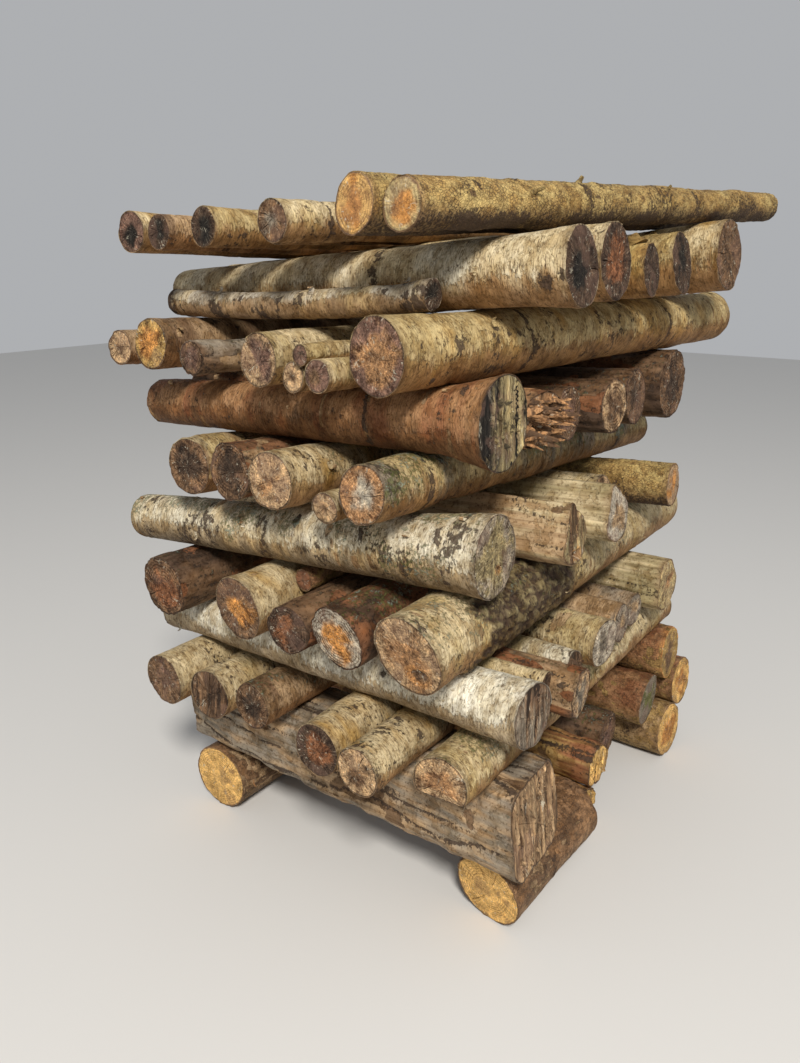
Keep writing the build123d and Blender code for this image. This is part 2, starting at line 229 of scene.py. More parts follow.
LOOKS = {
    "course_10_log_1": spruce(
        heart_size=0.66, cracks=1, rings=[0.53, 1.02], scars=[(0.52, 0.7, 0.016), (0.30, 1.3, 0.010)],
        stubs=[(0.33, 0.45, 0.0035, 0.022), (0.53, 1.3, 0.005, 0.014), (0.88, 0.9, 0.0035, 0.014)]),
    "course_10_log_2": spruce(sap=AMBER, heart_size=0.8, cracks=0),
    "course_10_log_3": birch(sap=BROWN, heart=ASH, rings=[0.13]),
    "course_10_log_4": birch(sap=PLUM, stain=OCHRE, heart=SOOT),
    "course_10_small_logs": [
        birch(sap=AMBER, heart=TAN),
        birch(skin=STRAW, stain=OCHRE, sap=UMBER, heart=SOOT, curls=1),
        birch(skin=TAN, stain=BROWN, under=BROWN, sap=UMBER, heart=SOOT, peel=0.3, curls=2),
    ],
    "course_9_pole": birch(
        skin=SILVER, stain=CREAM, low=TAN, crust=0.6, sap=UMBER, heart=SOOT,
        scars=[(0.10, 2.6, 0.008), (0.33, 3.2, 0.009), (0.52, 2.9, 0.007)]),
    "course_9_log_1": birch(
        stain=CHALK, sap=UMBER, heart=SOOT, crust=0.10, cracks=9, crack_depth=0.010,
        scars=[(0.045, 3.5, 0.015)], rings=[0.46], peel=-0.3, curls=5),
    "course_9_log_2": birch(sap=UMBER, heart=RUST, cracks=12, crack_depth=0.009),
    "course_9_log_3": birch(
        skin=MUSTARD, stain=OCHRE, sap=UMBER, heart=UMBER, stubs=[(0.04, 1.5, 0.016, 0.02)]),
    "course_9_log_4": birch(skin=STRAW, stain=MUSTARD, sap=UMBER, heart=SOOT),
    "course_9_log_5": birch(stain=OCHRE, sap=BROWN, heart=BROWN, cracks=10, crack_depth=0.008, crust=0.1),
    "course_8_log_1": birch(
        skin=STRAW, stain=OCHRE, sap=PLUM, heart=COPPER, heart_size=0.6, crust=0.30, cracks=3,
        rings=[0.42, 1.05], scars=[(0.16, 0.2, 0.012), (0.7, 0.6, 0.013)], curls=5),
    "course_8_log_2": birch(),
    "course_8_log_3": dark(stain=ASH, under=TAN, curls=8),
    "course_8_log_4": birch(skin=TAN, stain=BROWN, sap=OCHRE, heart=ORANGE),
    "course_8_log_5": birch(skin=TAN, stain=BROWN, heart=BROWN),
    "course_8_thin_logs": [birch(sap=PLUM, heart=BROWN), birch(sap=PLUM, heart=UMBER), birch(heart=BROWN)],
    "course_7_log_1": birch(
        skin=COPPER, stain=RUST, low=BROWN, sap=KHAKI, heart=SOOT, peel=0.1, crust=0.2, rim=SOOT,
        fibres=0.005, half=1.0, splinters=16, spike=0.014, cracks=3, rings=[0.30], curls=6),
    "course_7_log_2": dark(skin=COPPER, sap=COPPER, heart=BROWN, fibres=0.010, splinters=60, spike=0.07),
    "course_7_log_3": dark(),
    "course_7_log_4": dark(sap=TAN, heart=BROWN),
    "course_7_back_logs": dark(heart=UMBER),
    "course_6_log_1": birch(
        skin=STRAW, stain=ASH, sap=COPPER, heart=SILVER, heart_size=0.3, moss=0.6, crust=0.30,
        rings=[0.16], scars=[(0.05, 0.8, 0.012), (0.21, 0.9, 0.012)]),
    "course_6_log_2": birch(heart=BROWN),
    "course_6_log_3": birch(stain=OCHRE, heart=COPPER, moss=0.4, curls=6),
    "course_6_log_4": dark(skin=TAN, stain=BROWN, heart=UMBER),
    "course_6_log_5": birch(skin=TAN, under=CREAM, sap=BROWN, heart=UMBER, peel=0.3, curls=8),
    "course_5_log_1": birch(
        skin=CHALK, stain=CREAM, low=ASH, crust=0.36, sap=ASH, heart=KHAKI, heart_size=0.7, moss=0.5,
        cracks=2, rot=(0.012, -0.030, 0.010, 0.010), scars=[(0.10, 2.4, 0.012), (0.30, 2.6, 0.013)],
        curls=8),
    "course_5_log_2": birch(heart=BROWN),
    "course_5_log_3": spruce(sap=TAN),
    "course_5_split_log_1": split(sap=KHAKI, heart=BROWN, fibres=0.005, rot=(0.004, -0.040, 0.016, 0.022)),
    "course_5_split_log_2": split(skin=KHAKI, sap=SILVER, heart=TAN, crack_depth=0.008),
    "course_4_log_1": birch(
        heart=COPPER, heart_size=0.6, crust=0.30, moss=0.35, cork=(0.15, 0.62), cracks=3,
        rot=(0.026, -0.040, 0.026, 0.010), curls=4),
    "course_4_log_2": dark(skin=RUST, sap=SILVER, heart=ORANGE, heart_size=0.55, moss=0.5, cracks=3),
    "course_4_log_3": dark(sap=UMBER, heart=RUST),
    "course_4_log_4": birch(stain=OCHRE, sap=BROWN, heart=ORANGE, crust=0.1),
    "course_4_log_5": dark(heart=RUST),
    "course_4_log_6": pine(sap=RUST, heart=BROWN),
    "course_3_log_1": birch(
        skin=WHITE, stain=CHALK, low=SILVER, sap=ASH, heart=BROWN, crust=0.06, peel=-0.4, fibres=0.003,
        scars=[(0.35, 2.7, 0.010)], curls=5),
    "course_3_log_2": dark(skin=RUST, stain=BROWN, under=TAN, sap=TAN, heart=ASH, peel=0.35, curls=4),
    "course_3_log_3": birch(sap=SILVER, heart=ASH),
    "course_3_log_4": grey_birch,
    "course_3_log_5": grey_birch,
    "course_3_split_log": split(skin=KHAKI, sap=STRAW),
    "course_3_thin_logs": [
        birch(sap=BROWN, heart=UMBER),
        birch(skin=CHALK, sap=BROWN, heart=UMBER, fibres=0.006, splinters=8, spike=0.02),
    ],
    "course_2_log_1": birch(heart=COPPER, moss=0.45, cracks=3),
    "course_2_log_2": birch(
        stain=OCHRE, heart=BROWN, cracks=11, crust=0.35, moss=0.4, scars=[(0.15, 1.6, 0.012)]),
    "course_2_log_3": birch(stain=OCHRE, sap=UMBER, heart=RUST, cracks=6),
    "course_2_log_4": birch(skin=TAN, stain=BROWN, sap=BROWN, heart=UMBER, moss=0.4),
    "course_2_log_5": birch(sap=BROWN, heart=UMBER, fibres=0.006),
    "course_2_log_6": birch(sap=BROWN),
    "squared_sill_log": rotten(
        skin=ASH, fibres=0.007, splinters=10, spike=0.016, cracks=4, crack_depth=0.014),
    "rotten_billet_low": red_rotten,
    "rotten_billet_high": red_rotten,
    "ground_billets": dark(moss=0.4),
    "corner_billet_1": pine(skin=TAN, stain=OCHRE, sap=AMBER),
    "corner_billet_2": pine(sap=ASH, heart=OLIVE),
    "corner_billet_3": pine(sap=AMBER),
    "corner_billet_4": pine(sap=OCHRE, heart=BROWN, rim=ORANGE),
    "bearers": pine(
        skin=COPPER, stain=BROWN, under=TAN, sap=AMBER, heart=AMBER, cracks=6, crack_depth=0.008, curls=5),
}

lattice = np.random.default_rng(NOISE_SEED).uniform(-1, 1, (LATTICE,) * 3)


def smooth(low, high, x):
    """A soft step from 0 at the first level to 1 at the second."""
    t = np.clip((x - low) / (high - low), 0, 1)
    return t * t * (3 - 2 * t)


def mix(a, b, share):
    """Blend two colours, or two arrays of colours, by an array of shares."""
    return np.asarray(a) + (np.asarray(b) - np.asarray(a)) * np.asarray(share)[..., None]


def lattice_noise(p):
    """Smooth noise from -1 to 1 whose cells are one unit wide."""
    cell = np.floor(p).astype(int)
    t = p - cell
    t = t * t * (3 - 2 * t)
    low = cell % LATTICE
    high = (cell + 1) % LATTICE
    value = 0
    for corner in range(8):
        pick = [(corner >> axis) & 1 for axis in range(3)]
        at = [(high if pick[axis] else low)[..., axis] for axis in range(3)]
        share = 1
        for axis in range(3):
            share = share * (t[..., axis] if pick[axis] else 1 - t[..., axis])
        value = value + share * lattice[at[0], at[1], at[2]]
    return value


def fractal(p, size, octaves=3):
    """Noise of several sizes, the largest of them `size` across, from about -1 to 1.

    A number added to its points only sets one use of the noise apart from the others.
    """
    total, weight, q = 0, 1.0, p / np.asarray(size)
    for _ in range(octaves):
        total = total + weight * lattice_noise(q)
        q = q * OCTAVE_RATIO + OCTAVE_SHIFT
        weight *= 0.5
    return total


def cells(p, size):
    """Distance to the nearest edge between scattered cells, and a random number for each cell."""
    q = p / np.asarray(size)
    base = np.floor(q).astype(int)
    nearest = np.full(q.shape[:-1], 9.0)
    second = np.full(q.shape[:-1], 9.0)
    number = np.zeros(q.shape[:-1])
    for step in product((-1, 0, 1), repeat=3):
        cell = base + step
        key = [(cell[..., axis] + 7 * axis) % LATTICE for axis in range(3)]
        shift = np.stack([lattice[key[axis], key[axis - 1], key[axis - 2]] for axis in range(3)], -1)
        away = np.linalg.norm(cell + 0.5 + CELL_JITTER * shift - q, axis=-1)
        closer = away < nearest
        second = np.where(closer, nearest, np.minimum(second, away))
        number = np.where(closer, lattice[key[0], key[1], key[2]], number)
        nearest = np.where(closer, away, nearest)
    return second - nearest, number


class Stem:
    """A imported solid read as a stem: its axis, its two cuts, and its radius all round."""

    def __init__(self, points, triangles):
        corners = points[triangles]
        crossed = np.cross(corners[:, 1] - corners[:, 0], corners[:, 2] - corners[:, 0])
        area = np.linalg.norm(crossed, axis=1)
        normal = crossed / np.maximum(area, 1e-12)[:, None]
        spread = np.ptp(points, axis=0)
        heading = np.array((0.0, 1.0, 0.0) if spread[1] > spread[0] else (-1.0, 0.0, 0.0))
        self.cuts = []
        for way in (-1, 1):
            cap = normal @ heading * way > CAP_FACING
            weight = area[cap] / area[cap].sum()
            centre = (corners[cap].mean(axis=1) * weight[:, None]).sum(axis=0)
            facing = (normal[cap] * weight[:, None]).sum(axis=0)
            self.cuts.append((centre, facing / np.linalg.norm(facing)))
        self.origin = self.cuts[0][0]
        run = self.cuts[1][0] - self.origin
        self.length = np.linalg.norm(run)
        self.along = run / self.length
        self.side = np.cross(self.along, (0, 0, 1))
        self.side /= np.linalg.norm(self.side)
        self.up = np.cross(self.side, self.along)
        self.probe(points, triangles)

    def probe(self, points, triangles):
        """Measure the radius all round at stations clear of the slanted cuts."""
        tree = BVHTree.FromPolygons(points.tolist(), triangles.tolist())
        angles = np.arange(PROBE_ANGLES) * math.tau / PROBE_ANGLES
        thick = np.ptp(points, axis=0)[2] / 2
        margin = min(0.3 * thick + 0.004, self.length / 4)
        butt = min(BUTT, self.length / 2)
        self.stations = np.unique(np.concatenate([
            np.linspace(margin, butt, BUTT_STATIONS),
            np.linspace(butt, self.length - margin, STEM_STATIONS),
        ]))
        self.measured = np.zeros((len(self.stations), PROBE_ANGLES))
        for row, s in enumerate(self.stations):
            start = self.origin + self.along * s
            for column, angle in enumerate(angles):
                out = self.side * math.cos(angle) + self.up * math.sin(angle)
                hit = tree.ray_cast(Vector(start), Vector(out))
                self.measured[row, column] = hit[3] if hit[3] is not None else thick
        self.mean_radius = self.measured.mean()

    def radius(self, s, angle):
        """Radius at distances s and angles, carried on in a straight line past the stations."""
        turn = (angle % math.tau) / math.tau * PROBE_ANGLES
        left = np.floor(turn).astype(int)
        part = turn - left
        row = np.clip(np.searchsorted(self.stations, s) - 1, 0, len(self.stations) - 2)
        step = (s - self.stations[row]) / (self.stations[row + 1] - self.stations[row])
        value = 0
        for column, weight in ((left % PROBE_ANGLES, 1 - part), ((left + 1) % PROBE_ANGLES, part)):
            low, high = self.measured[row, column], self.measured[row + 1, column]
            value = value + weight * (low + (high - low) * step)
        return value

    def cut_at(self, end, x, y):
        """Distance along the axis at which the cut lies, at the point (x, y) of the section."""
        centre, facing = self.cuts[end]
        start = (centre - self.origin) @ self.along
        return start - (x * (self.side @ facing) + y * (self.up @ facing)) / (self.along @ facing)

    def place(self, x, y, s):
        """The point of space at (x, y) of the section and distance s along the axis."""
        return (self.origin + x[..., None] * self.side + y[..., None] * self.up
                + s[..., None] * self.along)


def loose_solids(node):
    """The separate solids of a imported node, each as welded points and triangles."""
    mesh = node.data
    mesh.calc_loop_triangles()
    points = np.array([tuple(vertex.co) for vertex in mesh.vertices])
    triangles = np.array([tuple(triangle.vertices) for triangle in mesh.loop_triangles])
    keys, weld = np.unique(np.round(points / WELD).astype(int), axis=0, return_inverse=True)
    triangles = weld.reshape(-1)[triangles]
    points = keys * WELD
    label = np.arange(len(points))
    settled = False
    while not settled:
        lowest = label.copy()
        np.minimum.at(lowest, triangles.ravel(), np.repeat(label[triangles].min(axis=1), 3))
        settled = (lowest == label).all()
        label = lowest
    solids = [(points, triangles[label[triangles[:, 0]] == part]) for part in np.unique(label)]
    return [(p[np.unique(t)], np.searchsorted(np.unique(t), t)) for p, t in solids]


def add_object(name, data):
    """A new object in the scene."""
    made = bpy.data.objects.new(name, data)
    bpy.context.scene.collection.objects.link(made)
    return made


class Skin:
    """Points, faces and point colours of one piece, gathered from its logs."""

    def __init__(self):
        self.points, self.faces, self.materials = [], [], []
        self.vectors = {"log_co": [], "ring_co": [], "field": []}
        self.colours = {"skin": [], "under": []}
        self.count = 0

    def add(self, points, co, ring, skin, under, marks):
        """Add a block of points, and return the number of its first one."""
        first = self.count
        self.count += points.size // 3
        lists = (self.points, *self.vectors.values(), *self.colours.values())
        for kept, value in zip(lists, (points, co, ring, marks, skin, under)):
            kept.append(np.broadcast_to(value, points.shape).reshape(-1, 3))
        return first

    def grid(self, numbers, material, flip=False):
        """Join rows of point numbers by faces, closing each row into a ring."""
        a, b = numbers[:-1], numbers[1:]
        quads = np.stack([a, np.roll(a, -1, axis=1), np.roll(b, -1, axis=1), b], axis=-1).reshape(-1, 4)
        self.faces.extend((quads[:, ::-1] if flip else quads).tolist())
        self.materials.extend([material] * len(quads))

    def fan(self, ring, middle, material, flip=False):
        """Close a ring of points with triangles round a middle point."""
        faces = [(a, b, middle) for a, b in zip(ring, np.roll(ring, -1))]
        self.faces.extend([face[::-1] for face in faces] if flip else faces)
        self.materials.extend([material] * len(faces))

    def build(self, name, materials):
        """Make the piece's mesh, with the numbers that its materials read at each point."""
        mesh = bpy.data.meshes.new(name)
        mesh.from_pydata(np.concatenate(self.points).tolist(), [], self.faces)
        for material in materials:
            mesh.materials.append(material)
        mesh.polygons.foreach_set("material_index", self.materials)
        mesh.polygons.foreach_set("use_smooth", [True] * len(mesh.polygons))
        for key, blocks in self.vectors.items():
            attribute = mesh.attributes.new(key, "FLOAT_VECTOR", "POINT")
            attribute.data.foreach_set("vector", np.concatenate(blocks).astype(np.float32).ravel())
        for key, blocks in self.colours.items():
            attribute = mesh.attributes.new(key, "FLOAT_COLOR", "POINT")
            colour = np.column_stack([np.clip(np.concatenate(blocks), 0, 1), np.ones(self.count)])
            attribute.data.foreach_set("color", colour.astype(np.float32).ravel())
        mesh.set_sharp_from_angle(angle=math.radians(SHARP_ANGLE))
        return add_object(name, mesh)


def mark_scars(site, look, draw):
    """Old places of branches, raised round a sunken middle, and cracks that run round the bark."""
    co = site.co
    height = crust = 0
    more = [(draw.uniform(0, site.length), draw.uniform(0, math.tau), draw.uniform(0.007, 0.012))
            for _ in range(4)]
    for s, angle, size in [*look.scars, *more]:
        turn = (site.angle - angle + math.pi) % math.tau - math.pi
        away = np.hypot(turn * site.radius / 1.6, site.s - s) / size
        away = away + 0.25 * fractal(co, 0.012)
        crust = np.maximum(crust, 0.62 * smooth(1.4, 0.8, away) + 0.3 * smooth(0.5, 0.2, away))
        height = height + 0.22 * size * (smooth(1.4, 0.7, away) - 1.5 * smooth(0.6, 0.1, away))
    wander = 0.012 * fractal(co, 0.05)
    for s in look.rings:
        band = smooth(0.011, 0.004, np.abs(site.s - s + wander))
        crust = np.maximum(crust, 0.75 * band)
        height = height - RING_CRACK * band
    return height, crust


def birch_bark(site, look, draw):
    """Papery pale bark: peeled strips, black flecks and scars, and painted shade that makes the underside
    browner.
    """
    co = site.co
    broad = fractal(co, (0.13, 0.13, 0.06))
    tone = fractal(co + 9, (0.06, 0.06, 0.014))
    strips = fractal(co + 31, (0.09, 0.09, 0.024))
    loose = strips + 0.3 * broad + look.peel - 0.2
    peel = smooth(0.62, 0.80, loose)
    height, crust = mark_scars(site, look, draw)
    rough = smooth(-0.3, 0.9, fractal(co + 57, (0.08, 0.08, 0.06)))
    crust = np.maximum(crust, 1.5 * look.crust * rough)
    # Painted shade on the underside: the bark turns to the look's low colour, warmed by painted reflected
    # light
    low = smooth(0.10, -0.50, np.sin(site.angle) + 0.25 * broad + 0.35 * tone)
    skin = mix(look.skin, look.stain, smooth(-0.3, 0.9, broad + 0.5 * tone))
    skin = mix(skin, look.low, 0.65 * low)
    skin = skin * (1 + 0.10 * tone)[..., None]
    under = mix(look.under, np.multiply(look.under, 0.55), smooth(-0.4, 0.6, fractal(co, 0.03)))
    height = height + fractal(co, 0.11, 2) * LUMP - PAPER * peel
    height = height + PAPER * smooth(0.42, 0.60, loose) * (1 - peel)
    height = height + 0.0005 * tone + PAPER * np.minimum(crust, 1) * fractal(co, 0.014, 2)
    if look.cork:
        ragged = 0.09 * fractal(co + 5, 0.06)
        thick = smooth(-0.012, 0.012, site.s - look.cork[0] + ragged)
        thick = thick * smooth(0.06, -0.06, site.s - look.cork[1] + ragged)
        ridge = np.abs(fractal(co + 3, (0.022, 0.022, 0.034)))
        pit = fractal(co + 13, 0.009, 2)
        bark = mix(UMBER, np.multiply(KHAKI, 0.8), smooth(0.06, 0.60, ridge + 0.3 * pit))
        skin = mix(skin, bark, thick)
        height = height + thick * (CORK * smooth(0.05, 0.5, ridge) + PAPER * pit)
        crust, peel = np.maximum(crust, 0.35 * thick), peel * (1 - thick)
    return height, skin, under, peel, crust


def scaly_bark(site, look, draw):
    """Thin plates with dark edges, some of them flaked off, and painted shade that darkens the underside
    and adds black pits there.
    """
    co = site.co
    edge, number = cells(co, (0.013, 0.013, 0.017))
    plate = smooth(0.0, 0.35, edge)
    broad = fractal(co, (0.09, 0.09, 0.14))
    peel = smooth(0.5, 0.8, 0.5 * number + 0.6 * broad + look.peel)
    height, crust = mark_scars(site, look, draw)
    skin = mix(look.skin, look.stain, smooth(-0.6, 0.6, broad + 0.5 * number))
    skin = skin * (0.82 + 0.18 * plate)[..., None]
    # Painted shade: the underside darkens towards the colour under the plates
    low = smooth(0.15, -0.75, np.sin(site.angle) + 0.3 * broad)
    skin = mix(skin, np.multiply(look.under, 0.8), 0.75 * low)
    under = mix(look.under, np.multiply(look.under, 0.6), smooth(-0.4, 0.6, fractal(co, 0.03)))
    height = height + fractal(co, 0.10, 2) * LUMP
    height = height + SCALE * plate * (1 + 0.4 * number) - SCALE_MIDDLE - SCALE * peel
    # Black pits, with more of them on the underside as painted shade
    crust = np.maximum(crust, look.crust * (smooth(-0.5, 0.9, fractal(co + 57, 0.05)) + low))
    return height, skin, under, peel, crust


def rugged_bark(site, look, draw):
    """Dark bark, fissured along the stem, with bare patches."""
    co = site.co
    ridge = 1 - np.abs(fractal(co, (0.020, 0.020, 0.075)))
    broad = fractal(co, (0.10, 0.10, 0.12))
    peel = smooth(0.35, 0.6, fractal(co + 31, (0.07, 0.07, 0.12)) + look.peel - 0.2)
    height, crust = mark_scars(site, look, draw)
    crust = np.maximum(crust, smooth(0.55, 1.1, ridge + look.crust - 0.3) * 0.6)
    skin = mix(look.skin, look.stain, smooth(-0.3, 0.6, broad))
    skin = skin * (1.1 - 0.3 * smooth(0.5, 1.0, ridge))[..., None]
    worn = smooth(-0.4, 0.6, fractal(co, (0.02, 0.02, 0.1)))
    under = mix(look.under, np.multiply(look.under, 0.5), worn)
    height = height + fractal(co, 0.10, 2) * LUMP
    height = height - FISSURE * smooth(0.55, 1.0, ridge) * (1 - 0.8 * peel) - WORN_OFF * peel
    return height, skin, under, peel, crust


def bare_wood(site, look, draw):
    """Split or rotten wood: fibres along the stem, long cracks and sunken patches."""
    co = site.co
    long = 0.18 - 0.26 * look.crust
    fibre = fractal(co, (0.010, 0.010, long))
    crack = smooth(0.86, 0.99, 1 - np.abs(fractal(co + 31, (0.05, 0.05, 0.5), 2)))
    broad = fractal(co, (0.08, 0.08, 0.14))
    peel = smooth(0.3, 0.7, broad + look.peel - 0.2)
    skin = mix(look.skin, look.stain, smooth(-0.9, 0.9, fibre + broad))
    under = mix(look.under, np.multiply(look.under, 0.6), smooth(-0.6, 0.8, fibre))
    height = fractal(co, (0.05, 0.05, long), 3) * LUMP * (1 + look.crust)
    height = height + FIBRE * fibre - LONG_CRACK * crack * look.crust - SUNKEN * peel * look.crust
    return height, skin, under, peel, crack * (0.4 + look.crust)


BARKS = {"birch": birch_bark, "scaly": scaly_bark, "rugged": rugged_bark, "bare": bare_wood}


def stations(length, coarse):
    """Shares of a log's length for its rows of points, closer together near the ends."""
    places = [0.0]
    while places[-1] < length:
        near = min(places[-1], length - places[-1])
        places.append(places[-1] + min(coarse, ROW_AT_END + ROW_GROWTH * near))
    return np.array(places) / places[-1]


def lay_side(piece, stem, look, draw, offset, coarse):
    """The log's side, from cut to cut. Returns the columns' angles and the two rims."""
    count = int(np.clip(round(math.tau * stem.mean_radius / COLUMN), FEWEST_COLUMNS, MOST_COLUMNS))
    angle = np.arange(count) * math.tau / count
    share = stations(stem.length, coarse)
    cosine, sine = np.cos(angle), np.sin(angle)
    limits = []
    for end, start in enumerate((0.0, stem.length)):
        s = np.full(count, start)
        for _ in range(3):
            r = stem.radius(s, angle)
            s = stem.cut_at(end, r * cosine, r * sine)
        limits.append(s)
    s = limits[0] + (limits[1] - limits[0]) * share[:, None]
    angle = np.broadcast_to(angle, s.shape)
    r = stem.radius(s, angle)
    co = np.stack([r * cosine, r * sine, s], axis=-1) + offset
    site = SimpleNamespace(co=co, angle=angle, s=s, radius=r, length=stem.length)
    height, skin, under, peel, crust = BARKS[look.bark](site, look, draw)
    green = look.moss * smooth(-0.3, 0.9, fractal(co + 83, 0.08) + 0.7 * np.sin(angle))
    end_gap = np.minimum(s - limits[0], limits[1] - s)
    chip = BARK * smooth(-0.2, 0.7, fractal(co + 11, 0.025, 2))
    s = s + np.where(share[:, None] < 0.5, 1, -1) * chip * smooth(0.012, 0.0, end_gap)
    rim = smooth(DARK_RIM, 0.0, end_gap + 0.008 * fractal(co, 0.02))
    skin = mix(skin, np.multiply(look.rim, 1.5), 0.4 * rim)
    r = r + height - SEATED
    points = stem.place(r * cosine, r * sine, s)
    # Painted shade on the underside, passed to the material as the third value of ring_co
    underside_shade = smooth(0.45, -0.55, np.sin(angle) + 0.3 * fractal(co + 9, 0.09))
    ring = (co - offset) * (1, 1, 0) + underside_shade[..., None] * (0, 0, 1)
    first = piece.add(points, co, ring, skin, under, np.stack([peel, crust, green], axis=-1))
    numbers = first + np.arange(points.shape[0] * count).reshape(points.shape[:2])
    piece.grid(numbers, 0, flip=True)
    rims = [(r[row] * cosine, r[row] * sine, numbers[row]) for row in (0, -1)]
    return angle[0], rims


def lay_end(piece, stem, look, draw, offset, angle, rim, end):
    """A sawn end: a ring of bark round the wood, growth rings round the pith, cracks and rot."""
    x_rim, y_rim, numbers = rim
    count = len(angle)
    size = np.hypot(x_rim, y_rim).mean()
    pith = draw.uniform(-PITH_DRIFT, PITH_DRIFT, 2) * size
    shares = [1 - row * BARK / size for row in RIM_ROWS]
    shares += list(np.linspace(shares[-1], 0, max(4, int(size / RING)))[1:-1])
    places = (np.arange(look.cracks) + draw.uniform(-0.3, 0.3, look.cracks)) / max(look.cracks, 1)
    cracks = np.unique(np.round(places * count).astype(int) % count)
    reach = draw.uniform(0.45, 0.95, len(cracks))
    step = math.tau / count
    out_way = -1 if end == 0 else 1
    rows = [numbers]
    crack_turn = draw.uniform(0, 9, len(cracks))
    fibrous = look.fibres if end == 0 else 0.0
    for share in shares:
        turned = angle.copy()
        opened = np.zeros(count)
        pull = smooth(1.0, 0.93, share)
        for column, far, seed in zip(cracks, reach, crack_turn):
            wander = 0.25 * step * math.sin(9 * share + seed) * pull
            for neighbour in (-1, 0, 1):
                at = (column + neighbour) % count
                narrow = step - CRACK_WIDTH / size
                turned[at] += wander - neighbour * narrow * pull
            opened[column] = smooth(0.02, 0.2, share) * smooth(far + 0.05, far - 0.1, share)
        x, y = (middle + share * (np.interp(turned, angle, values, period=math.tau) - middle)
                for middle, values in zip(pith, (x_rim, y_rim)))
        ring = np.stack([np.cos(turned), np.sin(turned), np.zeros(count)], axis=-1) * share * size
        co = ring + offset + np.multiply(END_SHIFT, end)
        rough = fractal(co, 0.016) * SAW_MARK
        stain = fractal(co + 23, 0.045)
        mottle = fractal(co + 61, 0.014)
        depth = look.crack_depth * opened
        decay, rust = np.zeros(count), np.zeros(count)
        if look.rot and end == 0:
            away = np.hypot(x - look.rot[0], (y - look.rot[1]) * 1.5) / look.rot[2]
            away = away + 0.10 * fractal(co, 0.012)
            decay = smooth(1.2, 0.7, away)
            rust = smooth(0.5, 0.1, np.abs(away - 1.15))
            depth = depth + look.rot[3] * decay * (0.7 + 0.4 * fractal(co, 0.01))
        wood = smooth(1 - 0.5 * BARK / size, 1 - 1.3 * BARK / size, share)
        heart = smooth(0.20, -0.20, share - look.heart_size + 0.42 * stain + 0.20 * mottle)
        if fibrous:
            ring = np.stack([x, 0.10 * y, 0 * x], axis=-1)
            co = ring * (2.2, 1.5, 1) + offset
            groove = fractal(ring + offset, 0.011) + 0.5 * fractal(ring + offset, 0.005, 1)
            rough = rough + fibrous * groove * smooth(1.0, 0.9, share)
            opened = np.maximum(opened, 0.75 * smooth(-0.2, -0.8, groove) * smooth(1.0, 0.95, share))
            heart = smooth(0.25, -0.25, look.half * (x / size + 0.25) + 0.40 * groove)
        skin = mix(np.broadcast_to(look.sap, co.shape), look.heart, heart)
        skin = skin * (1 + 0.26 * stain + 0.24 * mottle)[:, None]
        skin = mix(mix(skin, np.multiply(BROWN, 0.7), 0.85 * decay), ORANGE, 0.45 * rust)
        skin = mix(np.broadcast_to(look.rim, co.shape), skin, np.full(count, wood))
        under = np.broadcast_to(np.multiply(look.rim, 0.45), co.shape)
        marks = np.stack([opened, smooth(0.25, 0.9, stain + 0.25), np.zeros(count)], axis=-1)
        s = stem.cut_at(end, x, y) - out_way * depth + out_way * (rough - PAPER * (1 - wood))
        first = piece.add(stem.place(x, y, s), co, ring, skin, under, marks)
        rows.append(first + np.arange(count))
    piece.grid(np.array(rows), 1, flip=end == 1)
    centre = pith[:1], pith[1:]
    middle = piece.add(stem.place(*centre, stem.cut_at(end, *centre)), offset + np.multiply(END_SHIFT, end),
                       (0, 0, 0), look.heart, np.multiply(look.rim, 0.45), (0.0, 0.3, 0.0))
    piece.fan(rows[-1], middle, 1, flip=end == 1)


def lay_tube(piece, path, across, outward, section, scale, material, co, colours):
    """A small closed body: a section carried along a path, closed at both ends."""
    across, outward = (np.broadcast_to(way, path.shape)[:, None] for way in (across, outward))
    rows = path[:, None] + scale[:, None, None] * (
        section[:, 0, None] * across + section[:, 1, None] * outward)
    skin, under = colours
    first = piece.add(rows, co + (rows - rows[0, 0]), 0.0, skin, under, 0.0)
    numbers = first + np.arange(rows.shape[0] * rows.shape[1]).reshape(rows.shape[:2])
    piece.grid(numbers, material)
    last = [np.reshape(colour, (-1, 3))[-1] for colour in colours]
    for row, flip in ((0, True), (-1, False)):
        middle = piece.add(path[row], co, 0.0, *last, 0.0)
        piece.fan(numbers[row], middle, material, flip)


def lay_curls(piece, stem, look, draw, offset):
    """Loose strips of bark that lie on the stem at one end and curl off it at the other."""
    for _ in range(look.curls):
        s, angle = draw.uniform(0.01, stem.length - 0.02), draw.uniform(-0.4, math.pi + 0.4)
        way = draw.choice((-1, 1))
        width, length = draw.uniform(0.006, 0.020), draw.uniform(0.016, 0.036)
        bend = draw.uniform(0.003, 0.008)
        t = np.linspace(0, 1, STRIP_POINTS)
        radius = stem.radius(np.full(1, s), np.full(1, angle))[0] + PAPER
        lying = np.minimum(t, STRIP_LYING) * length
        turn = angle + way * lying / radius
        out = np.cos(turn)[:, None] * stem.side + np.sin(turn)[:, None] * stem.up
        ahead = way * (np.cos(turn)[:, None] * stem.up - np.sin(turn)[:, None] * stem.side)
        base = stem.place(radius * np.cos(turn), radius * np.sin(turn), np.full(STRIP_POINTS, s))
        roll = np.maximum(t - STRIP_LYING, 0) * length / bend
        path = base + bend * (np.sin(roll)[:, None] * ahead + (1 - np.cos(roll))[:, None] * out)
        outward = np.cos(roll)[:, None] * out - np.sin(roll)[:, None] * ahead
        half = width / 2
        section = np.array([(half, -STRIP), (half, STRIP), (0.1 * half, STRIP), (-half, STRIP),
                            (-half, -STRIP), (0.1 * half, -STRIP)])
        scale = 1 - 0.35 * t**2
        skin = np.where(section[:, 1, None] > 0, look.skin, look.under)
        lay_tube(piece, path, -way * stem.along, outward, section, scale, 0, offset + (0, 0, s),
                 (skin, look.under))


